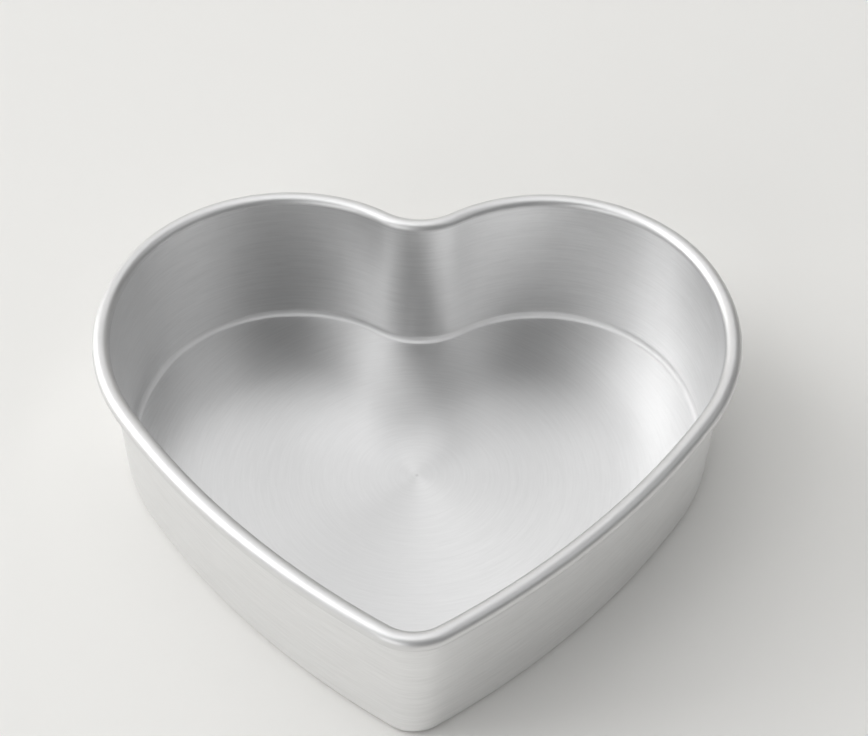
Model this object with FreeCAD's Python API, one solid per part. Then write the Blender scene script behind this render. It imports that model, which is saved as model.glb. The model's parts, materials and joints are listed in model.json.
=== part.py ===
import FreeCAD, Part
import math
import os

# Heart cake pan, drawn from one aluminium sheet: a flat floor, a drafted wall and a rim rolled outwards into a bead.
# Millimetres and degrees. Z is up and the pan stands on Z = 0. The tip points to -Y and the cleft to +Y, and the
# middle of the outline is at X = 0, Y = 0.

# The heart line is the wall's inner face at the mouth. Its right half is five arcs, each tangent to the next.
inside_width = 203.0  # across both lobes
inside_length = 185.6  # from the tip to the tops of the lobes
lobe_radius = 71.9  # round the widest place
crown_radius = 54.9  # over the top of a lobe
crown_start = 22.2  # degrees above the widest place, where the crown takes over
cleft_radius = 24.5  # between the lobes, where the line curves the other way
side_radius = 288.0  # the long side, from the lobe to the tip
tip_radius = 12.9  # round the tip

# The section is the same all the way round.
pan_height = 55.6  # to the top of the bead
sheet_thickness = 1.3
wall_draft = 1.7  # degrees that the wall leans outwards
floor_radius = 2.0  # inside, where the floor turns up into the wall
bead_radius = 2.9  # outside of the roll
bead_gap = 0.3  # left between the sheet's cut edge and the wall that it is rolled back to

# Angles are in degrees, anticlockwise from +X.
quarter_turn = 90.0
half_turn = 180.0
full_turn = 360.0

origin = FreeCAD.Vector(0, 0, 0)
rightwards = FreeCAD.Vector(1, 0, 0)
backwards = FreeCAD.Vector(0, 1, 0)
upwards = FreeCAD.Vector(0, 0, 1)


def on_circle(centre, radius, angle, second_axis):
    """Point on a circle in the plane of X and a second axis."""
    turn = math.radians(angle)
    return centre + rightwards * (radius * math.cos(turn)) + second_axis * (radius * math.sin(turn))


def arc_edge(centre, radius, start, end, second_axis):
    """Arc from one angle to another, either way round."""
    angles = (start, (start + end) / 2, end)
    return Part.Arc(*[on_circle(centre, radius, angle, second_axis) for angle in angles]).toShape()


def heading(start, end):
    """Angle of the line from one point to another, seen from above."""
    return math.degrees(math.atan2(end.y - start.y, end.x - start.x))


def left_crossing(first, first_radius, second, second_radius):
    """Where two circles cross, on the left of the way from the first centre to the second."""
    way = second - first
    along = (way.Length**2 + first_radius**2 - second_radius**2) / (2 * way.Length)
    aside = math.sqrt(first_radius**2 - along**2)
    way.normalize()
    return first + way * along + upwards.cross(way) * aside


def heart_arcs():
    """The arcs on the centre line, then those of the right half.

    Each is a centre, a radius, a first and a last angle, and 1 where it bulges outwards or -1 where it dips in.
    """
    crown_step = on_circle(origin, lobe_radius - crown_radius, crown_start, backwards)
    widest_y = inside_length / 2 - crown_radius - crown_step.y
    lobe = FreeCAD.Vector(inside_width / 2 - lobe_radius, widest_y, 0)
    crown = lobe + crown_step
    cleft_rise = math.sqrt((cleft_radius + crown_radius) ** 2 - crown.x**2)
    cleft = FreeCAD.Vector(0, crown.y + cleft_rise, 0)
    tip = FreeCAD.Vector(0, tip_radius - inside_length / 2, 0)
    side = left_crossing(tip, side_radius - tip_radius, lobe, side_radius - lobe_radius)
    cleft_end = heading(cleft, crown)
    tip_end = heading(side, tip)
    side_end = heading(side, lobe)
    middle_arcs = [
        (cleft, cleft_radius, -half_turn - cleft_end, cleft_end, -1),
        (tip, tip_radius, -half_turn - tip_end, tip_end, 1),
    ]
    right_arcs = [
        (crown, crown_radius, crown_start, heading(crown, cleft), 1),
        (lobe, lobe_radius, side_end, crown_start, 1),
        (side, side_radius, tip_end, side_end, 1),
    ]
    return middle_arcs, right_arcs


def section_centres():
    """Centres of the bead and of the floor's corner. X is the distance outwards from the heart line."""
    bead = FreeCAD.Vector(bead_radius, 0, pan_height - bead_radius)
    mouth = on_circle(bead, bead_radius, half_turn - wall_draft, upwards)
    draft = math.radians(wall_draft)
    corner_z = sheet_thickness + floor_radius
    lean = (mouth.z - corner_z) * math.tan(draft)
    corner = FreeCAD.Vector(mouth.x - lean - floor_radius / math.cos(draft), 0, corner_z)
    return bead, corner


def section_wire():
    """Outline of the sheet, from the edge of the flat floor up the wall and round the bead to the cut edge."""
    bead, corner = section_centres()
    hollow_radius = bead_radius - sheet_thickness
    left_open = math.degrees(math.acos((hollow_radius - bead_gap) / bead_radius))
    bead_start = half_turn - wall_draft
    bead_end = bead_start - full_turn + left_open
    turns = [
        (corner, floor_radius + sheet_thickness, -quarter_turn, -wall_draft),  # under the corner
        (bead, hollow_radius, bead_start, bead_end),  # inside the roll
        (bead, bead_radius, bead_end, bead_start),  # outside the roll and back to the mouth
        (corner, floor_radius, -wall_draft, -quarter_turn),  # inside the corner
    ]
    edges = []
    for turn, following in zip(turns, turns[1:] + turns[:1]):
        turn_edge = arc_edge(*turn, upwards)
        next_edge = arc_edge(*following, upwards)
        edges += [turn_edge, Part.makeLine(turn_edge.Vertexes[-1].Point, next_edge.Vertexes[0].Point)]
    return Part.Wire(edges)


def hoop(centre, radius, start, end, bulge):
    """The stretch of wall and bead along one arc of the heart."""
    wire = section_wire()
    if bulge < 0:
        wire = wire.mirror(origin, rightwards)
    wire.translate(rightwards * radius)
    wire.rotate(origin, upwards, start)
    wire.translate(centre)
    return Part.Face(wire).revolve(centre, upwards, end - start)


def mirrored(shapes):
    """The left half's copies of the right half's shapes."""
    return [shape.mirror(origin, rightwards) for shape in shapes]


def floor_edges(arcs):
    """Edges of the flat floor along these arcs, where the corner begins."""
    inwards = section_centres()[1].x
    return [
        arc_edge(centre, radius + bulge * inwards, start, end, backwards)
        for centre, radius, start, end, bulge in arcs
    ]


def flat_floor(middle_arcs, right_arcs):
    """The flat of the floor, inside the corner all round."""
    right_edges = floor_edges(right_arcs)
    edges = floor_edges(middle_arcs) + right_edges + mirrored(right_edges)
    outline = Part.Wire(Part.sortEdges(edges)[0])
    return Part.Face(outline).extrude(upwards * sheet_thickness)


def cake_pan():
    """The whole pan as one solid."""
    middle_arcs, right_arcs = heart_arcs()
    right_hoops = [hoop(*arc) for arc in right_arcs]
    hoops = [hoop(*arc) for arc in middle_arcs] + right_hoops + mirrored(right_hoops)
    return flat_floor(middle_arcs, right_arcs).fuse(hoops).removeSplitter()


os.makedirs("parts", exist_ok=True)
pan = cake_pan()
pan.exportStep("parts/pan.step")
print(len(pan.Solids), "solid,", len(pan.Faces), "faces,", round(pan.Volume), "cubic mm, valid:", pan.isValid())
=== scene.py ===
import json
import math

import bpy
from mathutils import Matrix, Vector

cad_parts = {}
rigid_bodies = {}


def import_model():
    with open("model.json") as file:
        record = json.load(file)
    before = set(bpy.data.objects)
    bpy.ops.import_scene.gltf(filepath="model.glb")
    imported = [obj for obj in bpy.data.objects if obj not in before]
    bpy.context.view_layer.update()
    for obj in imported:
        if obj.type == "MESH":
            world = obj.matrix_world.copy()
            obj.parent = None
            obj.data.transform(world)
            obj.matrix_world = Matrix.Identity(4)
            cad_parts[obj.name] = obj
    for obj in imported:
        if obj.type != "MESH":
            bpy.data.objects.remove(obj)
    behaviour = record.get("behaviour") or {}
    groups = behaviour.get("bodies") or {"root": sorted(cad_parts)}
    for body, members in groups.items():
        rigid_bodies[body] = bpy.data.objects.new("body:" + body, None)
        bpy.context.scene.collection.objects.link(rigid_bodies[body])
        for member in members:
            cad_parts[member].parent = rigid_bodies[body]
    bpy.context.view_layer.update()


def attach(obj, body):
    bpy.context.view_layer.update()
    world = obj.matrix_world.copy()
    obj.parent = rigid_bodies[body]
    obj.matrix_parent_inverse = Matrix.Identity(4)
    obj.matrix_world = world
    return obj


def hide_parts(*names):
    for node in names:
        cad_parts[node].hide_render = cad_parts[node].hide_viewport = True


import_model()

mm = 0.001
panName = "pan"


def hexColour(code):
    # sRGB hex to the linear values that shaders work in
    channels = [int(code[i:i + 2], 16) / 255 for i in (1, 3, 5)]
    linear = [c / 12.92 if c <= 0.04045 else ((c + 0.055) / 1.055) ** 2.4 for c in channels]
    return (*linear, 1.0)


def addNode(tree, kind, settings=None, inputs=None):
    # an input takes a plain value or another node's output
    node = tree.nodes.new(kind)
    for name, value in (settings or {}).items():
        setattr(node, name, value)
    for name, value in (inputs or {}).items():
        if isinstance(value, bpy.types.NodeSocket):
            tree.links.new(value, node.inputs[name])
        else:
            node.inputs[name].default_value = value
    return node


def newMaterial(name):
    material = bpy.data.materials.new(name)
    material.use_nodes = True
    material.node_tree.nodes.clear()
    return material, material.node_tree


# The pan: one aluminium sheet, drawn into a heart and rolled over at the rim.
# Lengths are millimetres and angles degrees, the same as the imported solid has.
pan = {
    "insideWidth": 203.0,  # across both lobes, at the mouth
    "insideLength": 185.6,  # tip to lobes, at the mouth
    "lobeRadius": 71.9,
    "crownRadius": 54.9,
    "crownStart": 22.2,
    "cleftRadius": 24.5,
    "sideRadius": 288.0,
    "tipRadius": 12.9,
    "height": 55.6,
    "sheet": 1.3,
    "draft": 1.7,
    "floorRadius": 2.0,
    "beadRadius": 2.9,
    "beadGap": 0.3,
    "turningCentre": (0.0, 11.0),  # where the floor's turned lines run round
    "stationStep": 2.0,  # longest step along the heart line
    "stationTurn": 2.5,  # largest turn between two stations
    "easing": 7.0,  # the drawn sheet's curve changes softly over this length, so its shading does
    "cornerSteps": 14,
    "rollSteps": 44,
    "hollowSteps": 22,  # inside the roll
    "wallSteps": 6,
    "floorRings": 12,
}


def heading(start, end):
    return math.degrees(math.atan2(end.y - start.y, end.x - start.x))


def onCircle(centre, radius, angle):
    turn = math.radians(angle)
    return centre + Vector((math.cos(turn), math.sin(turn))) * radius


def rightArcs():
    # centre, radius, first angle, last angle and bulge, clockwise from the cleft to the tip
    step = onCircle(Vector((0, 0)), pan["lobeRadius"] - pan["crownRadius"], pan["crownStart"])
    widestY = pan["insideLength"] / 2 - pan["crownRadius"] - step.y
    lobe = Vector((pan["insideWidth"] / 2 - pan["lobeRadius"], widestY))
    crown = lobe + step
    rise = math.sqrt((pan["cleftRadius"] + pan["crownRadius"]) ** 2 - crown.x ** 2)
    cleft = Vector((0, crown.y + rise))
    tip = Vector((0, pan["tipRadius"] - pan["insideLength"] / 2))
    # the side's centre is off to the left, where it touches the tip's and the lobe's circles
    way = lobe - tip
    toTip = pan["sideRadius"] - pan["tipRadius"]
    toLobe = pan["sideRadius"] - pan["lobeRadius"]
    along = (way.length ** 2 + toTip ** 2 - toLobe ** 2) / (2 * way.length)
    aside = math.sqrt(toTip ** 2 - along ** 2)
    way.normalize()
    side = tip + way * along + Vector((-way.y, way.x)) * aside
    return [
        (cleft, pan["cleftRadius"], -90, heading(cleft, crown), -1),
        (crown, pan["crownRadius"], heading(crown, cleft), pan["crownStart"], 1),
        (lobe, pan["lobeRadius"], pan["crownStart"], heading(side, lobe), 1),
        (side, pan["sideRadius"], heading(side, lobe), heading(side, tip), 1),
        (tip, pan["tipRadius"], heading(side, tip), -90, 1),
    ]


def heartStations():
    # points of the heart line with the direction outwards, clockwise from the cleft
    right = []
    for centre, radius, first, last, bulge in rightArcs():
        turn = abs(last - first)
        length = math.radians(turn) * radius
        steps = math.ceil(max(turn / pan["stationTurn"], length / pan["stationStep"]))
        for i in range(steps):
            angle = first + (last - first) * i / steps
            outwards = onCircle(Vector((0, 0)), bulge, angle)
            right.append((onCircle(centre, radius, angle), outwards))
    tipCentre = rightArcs()[-1][0]
    tipPoint = (onCircle(tipCentre, pan["tipRadius"], -90), Vector((0, -1)))
    left = [(Vector((-p.x, p.y)), Vector((-o.x, o.y))) for p, o in reversed(right[1:])]
    return right + [tipPoint] + left


def easedDirections(stations):
    # the outward directions, averaged over the easing length on both sides
    count = len(stations)
    gaps = [(stations[(i + 1) % count][0] - stations[i][0]).length for i in range(count)]
    eased = []
    for i in range(count):
        total = stations[i][1] * (gaps[i - 1] + gaps[i])
        for way in (1, -1):
            j, away = i, 0.0
            while True:
                away += gaps[j] if way > 0 else gaps[j - 1]
                j = (j + way) % count
                if away >= pan["easing"]:
                    break
                total += stations[j][1] * (1 - away / pan["easing"]) * (gaps[j - 1] + gaps[j])
        eased.append(total.normalized())
    return eased


def arcStretch(centre, radius, first, last, steps, facing):
    # a stretch of the section round a centre: place and normal, as distance outwards and height
    points = []
    for i in range(steps + 1):
        angle = first + (last - first) * i / steps
        normal = onCircle(Vector((0, 0)), facing, angle)
        points.append((onCircle(centre, radius, angle), normal))
    return points


def straight(start, end):
    # a straight stretch of the wall keeps one normal
    steps = pan["wallSteps"]
    return [(start[0].lerp(end[0], i / steps), start[1]) for i in range(steps + 1)]


def sheetSection():
    # stretches from the floor's edge inside, over the bead, to the floor's edge underneath
    beadRadius, sheet, draft = pan["beadRadius"], pan["sheet"], pan["draft"]
    hollow = beadRadius - sheet
    bead = Vector((beadRadius, pan["height"] - beadRadius))
    mouthAngle = 180 - draft
    mouth = onCircle(bead, beadRadius, mouthAngle)
    lean = math.radians(draft)
    cornerZ = sheet + pan["floorRadius"]
    cornerU = mouth.x - (mouth.y - cornerZ) * math.tan(lean) - pan["floorRadius"] / math.cos(lean)
    corner = Vector((cornerU, cornerZ))
    cutAngle = mouthAngle - 360 + math.degrees(math.acos((hollow - pan["beadGap"]) / beadRadius))
    cut = math.radians(cutAngle)
    insideCorner = arcStretch(corner, pan["floorRadius"], -90, -draft, pan["cornerSteps"], -1)
    roll = arcStretch(bead, beadRadius, mouthAngle, cutAngle, pan["rollSteps"], 1)
    rollInside = arcStretch(bead, hollow, cutAngle, mouthAngle, pan["hollowSteps"], -1)
    underCorner = arcStretch(corner, pan["floorRadius"] + sheet, -draft, -90, pan["cornerSteps"], 1)
    cutNormal = Vector((math.sin(cut), -math.cos(cut)))
    return {
        "insideCorner": insideCorner,
        "insideWall": straight(insideCorner[-1], roll[0]),
        "roll": roll,
        "cutEdge": [(roll[-1][0], cutNormal), (rollInside[0][0], cutNormal)],
        "rollInside": rollInside,
        "outsideWall": straight(rollInside[-1], underCorner[0]),
        "underCorner": underCorner,
    }


def panBody(metals):
    stations = heartStations()
    eased = easedDirections(stations)
    section = sheetSection()
    metalIndex = {name: i for i, name in enumerate(metals)}
    metalOfStretch = {"insideCorner": "corner", "roll": "bead", "cutEdge": "bead", "rollInside": "bead"}
    count = len(stations)
    vertices, faces, normals, metalOfFace = [], [], [], []

    def addRing(u, z):
        for point, outwards in stations:
            place = point + outwards * u
            vertices.append((place.x * mm, place.y * mm, z * mm))
        return len(vertices) - count

    def addBand(first, second, firstNormal, secondNormal, metal):
        for i in range(count):
            j = (i + 1) % count
            faces.append((first + i, first + j, second + j, second + i))
            metalOfFace.append(metalIndex[metal])
            for k, normal in ((i, firstNormal), (j, firstNormal), (j, secondNormal), (i, secondNormal)):
                outwards = eased[k] * normal.x
                normals.append((outwards.x, outwards.y, normal.y))

    def addFloor(edge, z, facing):
        # rings that shrink evenly to the turning centre
        centre = Vector(pan["turningCentre"]) * mm
        up = Vector((0, facing))
        outer = edge
        for ring in range(1, pan["floorRings"]):
            share = 1 - ring / pan["floorRings"]
            for i in range(count):
                place = centre.lerp(Vector(vertices[edge + i][:2]), share)
                vertices.append((place.x, place.y, z * mm))
            inner = len(vertices) - count
            if facing > 0:
                addBand(inner, outer, up, up, "floor")
            else:
                addBand(outer, inner, up, up, "floor")
            outer = inner
        vertices.append((centre.x, centre.y, z * mm))
        middle = len(vertices) - 1
        for i in range(count):
            j = (i + 1) % count
            corners = (middle, outer + j, outer + i)
            faces.append(corners[::-1] if facing < 0 else corners)
            metalOfFace.append(metalIndex["floor"])
            normals.extend([(0, 0, facing)] * 3)

    ring = addRing(*section["insideCorner"][0][0])
    topEdge = ring
    for name, points in section.items():
        metal = metalOfStretch.get(name, "wall")
        for (_, before), (place, after) in zip(points, points[1:]):
            following = addRing(*place)
            addBand(ring, following, before, after, metal)
            ring = following
    addFloor(topEdge, pan["sheet"], 1)
    addFloor(ring, 0, -1)

    mesh = bpy.data.meshes.new("panBody")
    mesh.from_pydata(vertices, [], faces)
    for metal in metals.values():
        mesh.materials.append(metal)
    mesh.polygons.foreach_set("material_index", metalOfFace)
    mesh.polygons.foreach_set("use_smooth", [True] * len(faces))
    mesh.normals_split_custom_set(normals)
    body = bpy.data.objects.new("panBody", mesh)
    bpy.context.scene.collection.objects.link(body)
    return body


# Satin anodised aluminium: a pale neutral metal under a thin clear oxide, so its reflections are soft.
# The brush runs level round the wall, and in circles on the floor, so highlights spread across it.
# Turning the floor and rolling the rim leave them a little duller, and the draw roughens the tight corner.
# The brush lines are real; the darker line colour is painted shade in the bottom of each line, standing in
# for the shading of its groove, and lengths are millimetres.
finishes = {
    "wall": {"name": "brushedAluminium", "colour": "#f2f2f2", "paintedLineShade": "#e8e8e8",
             "roughness": 0.4, "brush": 0.5, "lineDepth": 0.002},
    "floor": {"name": "turnedAluminium", "colour": "#e9e9e9", "paintedLineShade": "#e1e1e1",
              "roughness": 0.36, "brush": 0.8, "lineDepth": 0.006, "turned": True},
    "bead": {"name": "rolledAluminium", "colour": "#e8e8e8", "paintedLineShade": "#e2e2e2",
             "roughness": 0.48, "brush": 0.2, "lineDepth": 0.002},
    "corner": {"name": "drawnAluminium", "colour": "#f2f2f2", "paintedLineShade": "#e8e8e8",
               "roughness": 0.62, "brush": 0.0, "lineDepth": 0.002},
}
centreMark = {"across": 1.4, "colour": "#d4d4d4"}  # a darker dot at the floor's turning centre
brushLines = {
    "spacing": 0.8,  # the real lines are about 0.1 mm apart, too fine to show
    "fade": 14.0,  # along a line before it fades into the next
    "detail": 4.0,  # finer lines within each line
    "detailShare": 0.7,
    "roughnessSwing": 0.05,  # from line to line
    "roughnessRange": (0.25, 0.75),  # the noise values that reach the ends of that swing
    "colourRange": (0.3, 0.7),  # and those that reach the two colours
}


def brushedAluminium(name, colour, paintedLineShade, roughness, brush, lineDepth, turned=False):
    material, tree = newMaterial(name)
    place = addNode(tree, "ShaderNodeTexCoord")
    perLine = 1 / (brushLines["spacing"] * mm)
    perFade = 1 / (brushLines["fade"] * mm)
    if turned:
        centre = (*[c * mm for c in pan["turningCentre"]], 0)
        arm = addNode(tree, "ShaderNodeVectorMath", {"operation": "SUBTRACT"},
                      {0: place.outputs["Object"], 1: centre})
        flat = addNode(tree, "ShaderNodeVectorMath", {"operation": "MULTIPLY"},
                       {0: arm.outputs[0], 1: (1, 1, 0)})
        across = flat.outputs[0]
        away = addNode(tree, "ShaderNodeVectorMath", {"operation": "LENGTH"}, {0: across})
        circles = addNode(tree, "ShaderNodeMath", {"operation": "MULTIPLY"},
                          {0: away.outputs["Value"], 1: perLine})
        spokes = addNode(tree, "ShaderNodeVectorMath", {"operation": "MULTIPLY"},
                         {0: across, 1: (perFade, perFade, 0)})
        parts = addNode(tree, "ShaderNodeSeparateXYZ", None, {0: spokes.outputs[0]})
        pattern = addNode(tree, "ShaderNodeCombineXYZ", None, {
            "X": circles.outputs[0], "Y": parts.outputs["X"], "Z": parts.outputs["Y"]})
    else:
        across = place.outputs["Normal"]
        pattern = addNode(tree, "ShaderNodeVectorMath", {"operation": "MULTIPLY"},
                          {0: place.outputs["Object"], 1: (perFade, perFade, perLine)})
    lines = addNode(tree, "ShaderNodeTexNoise", None, {
        "Vector": pattern.outputs[0], "Scale": 1.0,
        "Detail": brushLines["detail"], "Roughness": brushLines["detailShare"]})
    bump = addNode(tree, "ShaderNodeBump", None,
                   {"Height": lines.outputs[0], "Strength": 1.0, "Distance": lineDepth * mm})
    swing = brushLines["roughnessSwing"]
    low, high = brushLines["roughnessRange"]
    dullness = addNode(tree, "ShaderNodeMapRange", None, {
        "Value": lines.outputs[0], "From Min": low, "From Max": high,
        "To Min": roughness - swing, "To Max": roughness + swing})
    along = addNode(tree, "ShaderNodeVectorMath", {"operation": "CROSS_PRODUCT"},
                    {0: (0, 0, 1), 1: across})
    grain = addNode(tree, "ShaderNodeVectorTransform",
                    {"vector_type": "VECTOR", "convert_from": "OBJECT", "convert_to": "WORLD"},
                    {"Vector": along.outputs[0]})
    evenGrain = addNode(tree, "ShaderNodeVectorMath", {"operation": "NORMALIZE"}, {0: grain.outputs[0]})
    low, high = brushLines["colourRange"]
    height = addNode(tree, "ShaderNodeMapRange", None,
                     {"Value": lines.outputs[0], "From Min": low, "From Max": high})
    # painted shade: the bottom of each brush line is mixed towards the darker line colour
    shade = addNode(tree, "ShaderNodeMix", {"data_type": "RGBA"}, {
        0: height.outputs[0], 6: hexColour(paintedLineShade), 7: hexColour(colour)})
    if turned:
        # the floor darkens to the centre mark's colour in a small dot round the turning centre
        markEdge = centreMark["across"] / 2 * mm
        unmarked = addNode(tree, "ShaderNodeMapRange", None, {
            "Value": away.outputs["Value"], "From Min": 0.5 * markEdge, "From Max": markEdge})
        shade = addNode(tree, "ShaderNodeMix", {"data_type": "RGBA"}, {
            0: unmarked.outputs[0], 6: hexColour(centreMark["colour"]), 7: shade.outputs[2]})
    shader = addNode(tree, "ShaderNodeBsdfPrincipled", None, {
        "Base Color": shade.outputs[2],
        "Metallic": 1.0,
        "Roughness": dullness.outputs[0],
        "Anisotropic": brush,
        "Tangent": evenGrain.outputs[0],
        "Normal": bump.outputs[0],
    })
    addNode(tree, "ShaderNodeOutputMaterial", None, {"Surface": shader.outputs[0]})
    return material


metals = {stretch: brushedAluminium(**finish) for stretch, finish in finishes.items()}
body = panBody(metals)
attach(body, "root")
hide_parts(panName)
print("pan body:", len(body.data.polygons), "faces")


# The floor and the backdrop are one pale sweep of matt paper. Lengths are metres.
sweep = {
    "colour": "#f2f1ee",
    "roughness": 0.8,
    "width": 30.0,
    "front": -15.0,
    "bendStart": 2.25,
    "bendRadius": 1.25,
    "top": 3.0,
    "bendSteps": 24,
}


def paleSweep():
    line = [(sweep["front"], 0.0), (sweep["bendStart"], 0.0)]
    for i in range(1, sweep["bendSteps"] + 1):
        turn = math.radians(90) * i / sweep["bendSteps"]
        line.append((sweep["bendStart"] + sweep["bendRadius"] * math.sin(turn),
                     sweep["bendRadius"] * (1 - math.cos(turn))))
    line.append((line[-1][0], sweep["top"]))
    half = sweep["width"] / 2
    vertices = [(x, y, z) for y, z in line for x in (-half, half)]
    faces = [(2 * i, 2 * i + 1, 2 * i + 3, 2 * i + 2) for i in range(len(line) - 1)]
    mesh = bpy.data.meshes.new("floorSweep")
    mesh.from_pydata(vertices, [], faces)
    mesh.polygons.foreach_set("use_smooth", [True] * len(faces))
    material, tree = newMaterial("mattPaper")
    shader = addNode(tree, "ShaderNodeBsdfPrincipled", None,
                     {"Base Color": hexColour(sweep["colour"]), "Roughness": sweep["roughness"]})
    addNode(tree, "ShaderNodeOutputMaterial", None, {"Surface": shader.outputs[0]})
    mesh.materials.append(material)
    floor = bpy.data.objects.new("floorSweep", mesh)
    bpy.context.scene.collection.objects.link(floor)
    return floor


paleSweep()

# A wide window light from the left, weaker softboxes round the pan, and a dim even room.
# Places and sizes are metres, and powers watts. All of them face the pan.
lampAim = (0, 0, 0.03)
lights = {
    "window": {"place": (-6.1, 1.86, 2.86), "size": (7.5, 5.0), "power": 322.0},
    "highLeft": {"place": (-2.03, -0.13, 2.83), "size": (3.0, 1.4), "power": 25.6},
    "overhead": {"place": (0.0, 0.0, 3.75), "size": (3.0, 3.0), "power": 35.5},
    "frontLeft": {"place": (-3.56, -5.66, 2.16), "size": (3.0, 3.5), "power": 84.0},
    "rightFill": {"place": (2.5, -0.68, 2.35), "size": (3.25, 2.0), "power": 13.0},
    "backTop": {"place": (0.0, 2.15, 2.75), "size": (3.25, 1.5), "power": 15.0},
}
room = {"colour": "#f2f4f6", "strength": 0.1}


def softbox(name, place, size, power):
    lamp = bpy.data.lights.new(name, "AREA")
    lamp.shape = "RECTANGLE"
    lamp.size, lamp.size_y = size
    lamp.energy = power
    holder = bpy.data.objects.new(name, lamp)
    holder.location = place
    holder.rotation_euler = (Vector(lampAim) - Vector(place)).to_track_quat("-Z", "Y").to_euler()
    holder.visible_camera = False  # the softboxes stand out of the picture
    bpy.context.scene.collection.objects.link(holder)


def dimRoom():
    world = bpy.data.worlds.new("room")
    world.use_nodes = True
    background = world.node_tree.nodes["Background"]
    background.inputs["Color"].default_value = hexColour(room["colour"])
    background.inputs["Strength"].default_value = room["strength"]
    bpy.context.scene.world = world


for name, values in lights.items():
    softbox(name, **values)
dimRoom()
print("lights:", len(lights))

# The camera stands in front of the tip and looks down into the pan.
view = {
    "place": (3.2, -391.1, 464.2),  # mm
    "down": 45.56,  # degrees, as the next two are
    "left": -0.32,
    "roll": 0.675,
    "lens": 73.7,  # mm
}


def addCamera():
    down, turn, roll = (math.radians(view[name]) for name in ("down", "left", "roll"))
    forward = Vector((-math.sin(turn) * math.cos(down), math.cos(turn) * math.cos(down), -math.sin(down)))
    right = Vector((math.cos(turn), math.sin(turn), 0))
    up = right.cross(forward)
    tiltedRight = right * math.cos(roll) + up * math.sin(roll)
    tiltedUp = up * math.cos(roll) - right * math.sin(roll)
    camera = bpy.data.cameras.new("camera")
    camera.lens = view["lens"]
    holder = bpy.data.objects.new("camera", camera)
    axes = Matrix((tiltedRight, tiltedUp, -forward)).transposed()
    holder.matrix_world = Matrix.Translation(Vector(view["place"]) * mm) @ axes.to_4x4()
    bpy.context.scene.collection.objects.link(holder)
    bpy.context.scene.camera = holder


addCamera()
bpy.context.scene.view_settings.view_transform = "Standard"
